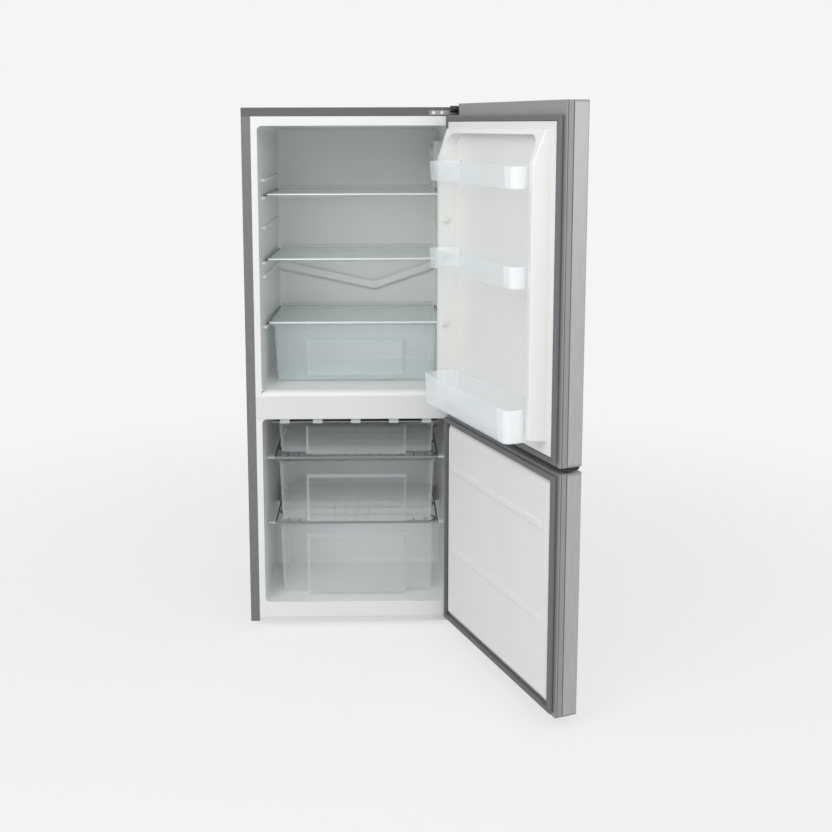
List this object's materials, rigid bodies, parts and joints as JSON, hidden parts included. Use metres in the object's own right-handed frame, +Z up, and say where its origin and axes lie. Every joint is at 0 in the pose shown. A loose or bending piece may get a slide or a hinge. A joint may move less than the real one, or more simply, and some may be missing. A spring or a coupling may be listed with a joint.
{
  "type": "fridge freezer",
  "caption": "Upright fridge over freezer with right-hung doors swung open, glass shelves, clear drawers, door racks and a rear condenser.",
  "frame": {"origin": "on the floor, at the middle of the cabinet's width, in the plane of the cabinet's front flanges", "axes": "+X to the right seen from the front, +Y to the back, +Z up"},
  "size_m": [0.7566, 1.038, 1.339],
  "materials": {
    "silver_painted_steel": "satin metallic paint",
    "worktop_grey": "fine grained",
    "zinc_steel": "zinc plated",
    "white_liner": "vacuum formed gloss",
    "foam": "rigid foam",
    "shelf_glass": "toughened clear",
    "shelf_trim": "clear moulded",
    "clear_plastic": "clear moulded polystyrene",
    "door_frame_grey": "moulded satin",
    "seal_rubber": "soft extrusion",
    "black_plastic": "moulded satin",
    "black_enamelled_steel": "stoved gloss black",
    "copper_tube": "drawn tube",
    "evaporator_aluminium": "drawn tube and wire"
  },
  "bodies": {
    "cabinet": {"side_panel_left": "silver_painted_steel", "side_panel_right": "silver_painted_steel", "worktop": "worktop_grey", "back_panel": "zinc_steel", "base_pan": "zinc_steel", "top_hinge": "zinc_steel", "middle_hinge": "zinc_steel", "bottom_hinge": "zinc_steel", "hinge_screws": "zinc_steel", "fridge_liner": "white_liner", "freezer_liner": "white_liner", "mullion_plate": "white_liner", "bottom_rail": "white_liner", "evaporator_clips": "white_liner", "control_housing": "white_liner", "insulation_sides": "foam", "insulation_core": "foam", "crisper_cover_glass": "shelf_glass", "crisper_cover_trims": "shelf_trim", "lamp_cover": "clear_plastic", "compressor_grommets": "seal_rubber", "relay_box": "black_plastic", "drip_tray": "black_plastic", "drain_spout": "black_plastic", "condenser_brackets": "black_plastic", "rear_feet": "black_plastic", "condenser": "black_enamelled_steel", "compressor": "black_enamelled_steel", "refrigerant_pipes": "copper_tube", "filter_drier": "copper_tube", "evaporator_ceiling": "evaporator_aluminium", "evaporator_shelf_upper": "evaporator_aluminium", "evaporator_shelf_lower": "evaporator_aluminium"},
    "fridge_door": {"fridge_door_skin": "silver_painted_steel", "fridge_door_frame": "door_frame_grey", "fridge_door_foam": "foam", "fridge_door_liner": "white_liner", "fridge_door_gasket": "seal_rubber", "fridge_door_bushes": "black_plastic"},
    "freezer_door": {"freezer_door_skin": "silver_painted_steel", "freezer_door_frame": "door_frame_grey", "freezer_door_foam": "foam", "freezer_door_liner": "white_liner", "freezer_door_gasket": "seal_rubber", "freezer_door_bushes": "black_plastic"},
    "door_rack_top": {"door_rack_top": "clear_plastic"},
    "door_rack_middle": {"door_rack_middle": "clear_plastic"},
    "bottle_rack": {"bottle_rack": "clear_plastic"},
    "top_shelf": {"top_shelf_glass": "shelf_glass", "top_shelf_trims": "shelf_trim"},
    "middle_shelf": {"middle_shelf_glass": "shelf_glass", "middle_shelf_trims": "shelf_trim"},
    "crisper_drawer": {"crisper_drawer": "clear_plastic"},
    "freezer_drawer_top": {"freezer_drawer_top": "clear_plastic"},
    "freezer_drawer_middle": {"freezer_drawer_middle": "clear_plastic"},
    "freezer_drawer_bottom": {"freezer_drawer_bottom": "clear_plastic"},
    "thermostat_knob": {"thermostat_knob": "white_liner"},
    "front_foot_left": {"front_foot_left": "black_plastic"},
    "front_foot_right": {"front_foot_right": "black_plastic"}
  },
  "joints": [
    {"name": "fridge_door_hinge", "type": "hinge", "parent": "cabinet", "child": "fridge_door", "pos_m": [0.25825, -0.0365, 0.9], "axis": [0, 0, 1], "range_deg": [-111.7, 13.3]},
    {"name": "freezer_door_hinge", "type": "hinge", "parent": "cabinet", "child": "freezer_door", "pos_m": [0.25825, -0.0365, 0.9], "axis": [0, 0, 1], "range_deg": [-111.7, 13.3]},
    {"name": "door_rack_top_lift", "type": "slide", "parent": "fridge_door", "child": "door_rack_top", "axis": [0, 0, 1], "range_m": [0, 0.03]},
    {"name": "door_rack_middle_lift", "type": "slide", "parent": "fridge_door", "child": "door_rack_middle", "axis": [0, 0, 1], "range_m": [0, 0.03]},
    {"name": "bottle_rack_lift", "type": "slide", "parent": "fridge_door", "child": "bottle_rack", "axis": [0, 0, 1], "range_m": [0, 0.03]},
    {"name": "top_shelf_slide", "type": "slide", "parent": "cabinet", "child": "top_shelf", "axis": [0, -1, 0], "range_m": [0, 0.11]},
    {"name": "middle_shelf_slide", "type": "slide", "parent": "cabinet", "child": "middle_shelf", "axis": [0, -1, 0], "range_m": [0, 0.11]},
    {"name": "crisper_slide", "type": "slide", "parent": "cabinet", "child": "crisper_drawer", "axis": [0, -1, 0], "range_m": [0, 0.17]},
    {"name": "freezer_drawer_top_slide", "type": "slide", "parent": "cabinet", "child": "freezer_drawer_top", "axis": [0, -1, 0], "range_m": [0, 0.24]},
    {"name": "freezer_drawer_middle_slide", "type": "slide", "parent": "cabinet", "child": "freezer_drawer_middle", "axis": [0, -1, 0], "range_m": [0, 0.24]},
    {"name": "freezer_drawer_bottom_slide", "type": "slide", "parent": "cabinet", "child": "freezer_drawer_bottom", "axis": [0, -1, 0], "range_m": [0, 0.17]},
    {"name": "thermostat_turn", "type": "hinge", "parent": "cabinet", "child": "thermostat_knob", "pos_m": [0.2, 0.292, 1.216], "axis": [1, 0, 0], "range_deg": [0, 270]},
    {"name": "front_foot_left_turn", "type": "hinge", "parent": "cabinet", "child": "front_foot_left", "pos_m": [-0.227, 0.062, 0], "axis": [0, 0, 1], "continuous": true},
    {"name": "front_foot_right_turn", "type": "hinge", "parent": "cabinet", "child": "front_foot_right", "pos_m": [0.227, 0.062, 0], "axis": [0, 0, 1], "continuous": true}
  ]
}
